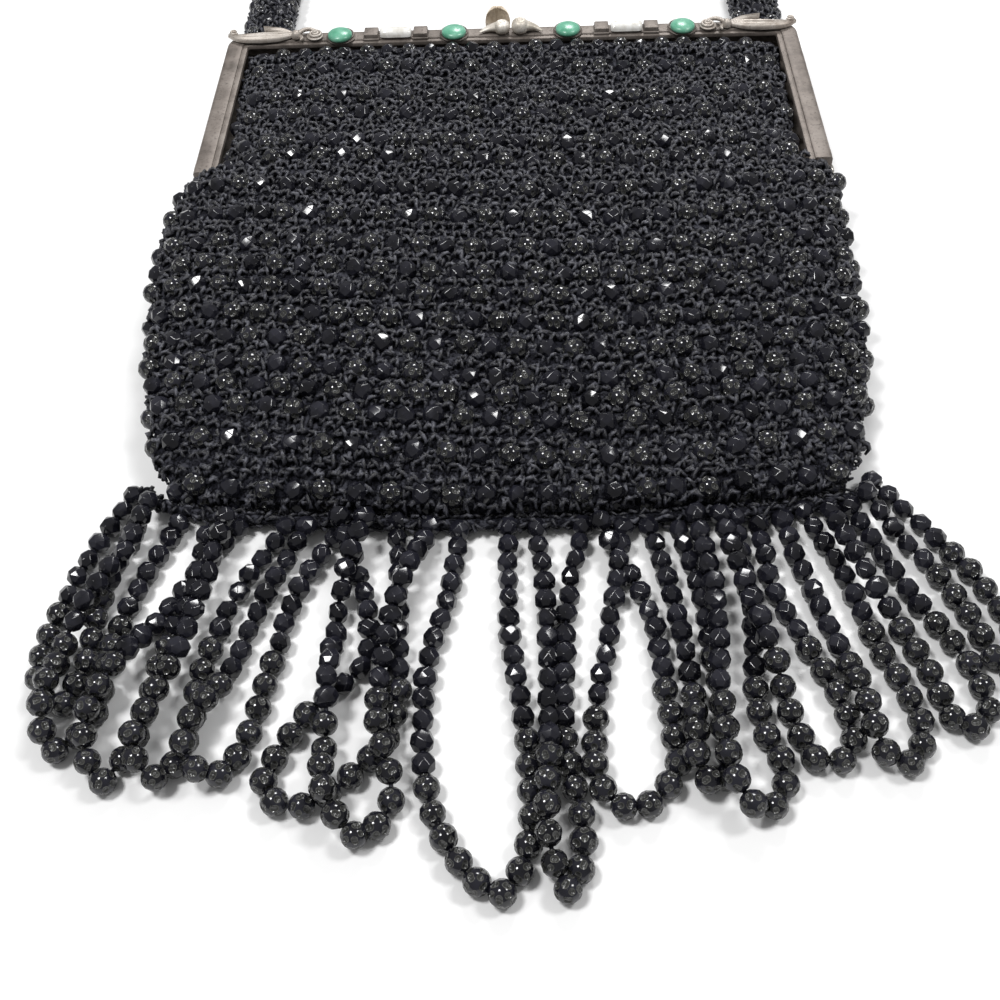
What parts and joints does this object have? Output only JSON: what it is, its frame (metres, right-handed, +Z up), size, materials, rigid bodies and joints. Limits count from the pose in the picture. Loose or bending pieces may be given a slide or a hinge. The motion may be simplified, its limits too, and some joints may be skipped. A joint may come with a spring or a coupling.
{
  "type": "beaded flapper purse",
  "caption": "Crocheted bead purse lying flat: U-shaped kiss-lock frame with stones and scrolls, hollow ribbed pouch, looped bead fringe and strap.",
  "frame": {"origin": "centre of the bounding box on the surface that the purse lies on", "axes": "+X across the purse, +Y from the fringe to the handle, +Z up, out of the front face"},
  "size_m": [0.1586, 0.338, 0.018],
  "materials": {
    "frame_metal": "tarnished grey-brown plate",
    "bright_metal": "worn bright",
    "pale_metal": "pale silvered casting",
    "brown_metal": "worn brown-gold casting",
    "green_stone": "polished",
    "white_enamel": "glossy",
    "black_crochet": "crocheted yarn with glass beads",
    "black_beads": "glossy black"
  },
  "bodies": {
    "root": {"frame_front": "frame_metal", "frame_back": "frame_metal", "hinge_pin_left": "bright_metal", "hinge_pin_right": "bright_metal", "cabochon_1": "green_stone", "cabochon_2": "green_stone", "cabochon_3": "green_stone", "cabochon_4": "green_stone", "white_bar_left": "white_enamel", "white_bar_right": "white_enamel", "scroll_left": "pale_metal", "scroll_right": "pale_metal", "clasp_knob_left": "pale_metal", "clasp_knob_right": "pale_metal", "clasp_petal": "brown_metal", "pouch": "black_crochet", "fringe": "black_beads", "strap": "black_crochet"}
  },
  "joints": []
}
